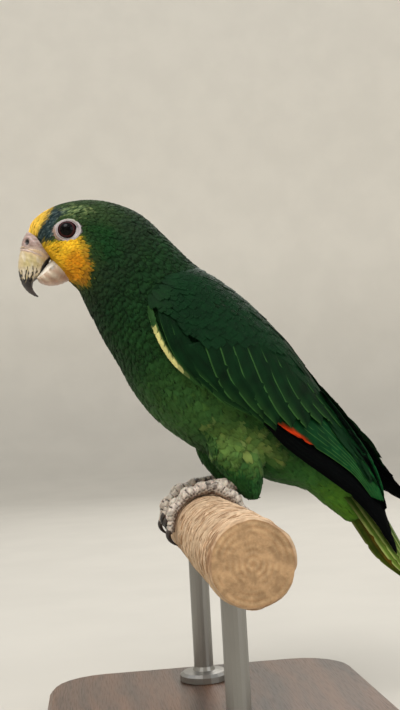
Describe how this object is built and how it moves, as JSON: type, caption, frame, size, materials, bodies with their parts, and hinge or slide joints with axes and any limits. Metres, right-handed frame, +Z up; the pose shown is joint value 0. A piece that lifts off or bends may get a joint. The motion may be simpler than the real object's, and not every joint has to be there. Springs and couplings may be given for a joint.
{
  "type": "amazon parrot model",
  "caption": "Life-size still model of an orange-winged amazon parrot gripping a cut perch, held on a flat display stand.",
  "frame": {"origin": "on the underside of the stand's base, under the perch's axis and in the bird's plane of symmetry", "axes": "+Z up; the bird faces -X, its left side is at -Y; the perch lies along Y"},
  "size_m": [0.2405, 0.257, 0.3071],
  "materials": {
    "plumage": "soft overlapping green feathers, yellow on the face",
    "wing_green": "smooth dark green wing feathers with fine pale edges and an orange-red patch",
    "flight_black": "smooth blue-black flight feathers",
    "tail_green": "green tail feathers, yellow-green below with an orange tint",
    "horn": "pale horn, satin, with a dark streaked tip",
    "cere": "bare pinkish grey skin",
    "eye": "wet, polished, dark reddish brown iris round a black pupil",
    "scaly_skin": "grey-beige scaly skin",
    "claw": "dark horn, satin",
    "perch_wood": "bare pale branch, rubbed and fibrous",
    "stand_wood": "dark satin wood",
    "stand_metal": "dark brushed metal"
  },
  "bodies": {
    "root": {"belly": "plumage", "bill_lower": "horn", "bill_upper": "horn", "breast": "plumage", "cere": "cere", "claw_front_inner_left": "claw", "claw_front_inner_right": "claw", "claw_front_outer_left": "claw", "claw_front_outer_right": "claw", "claw_rear_inner_left": "claw", "claw_rear_inner_right": "claw", "claw_rear_outer_left": "claw", "claw_rear_outer_right": "claw", "eye_left": "eye", "eye_right": "eye", "foot_left": "scaly_skin", "foot_right": "scaly_skin", "head": "plumage", "neck": "plumage", "perch": "perch_wood", "primaries_left": "flight_black", "primaries_right": "flight_black", "rump": "plumage", "stand_base": "stand_wood", "stand_rod_1": "stand_metal", "stand_rod_2": "stand_metal", "tail": "tail_green", "thigh_left": "plumage", "thigh_right": "plumage", "wing_left": "wing_green", "wing_right": "wing_green"}
  },
  "joints": []
}
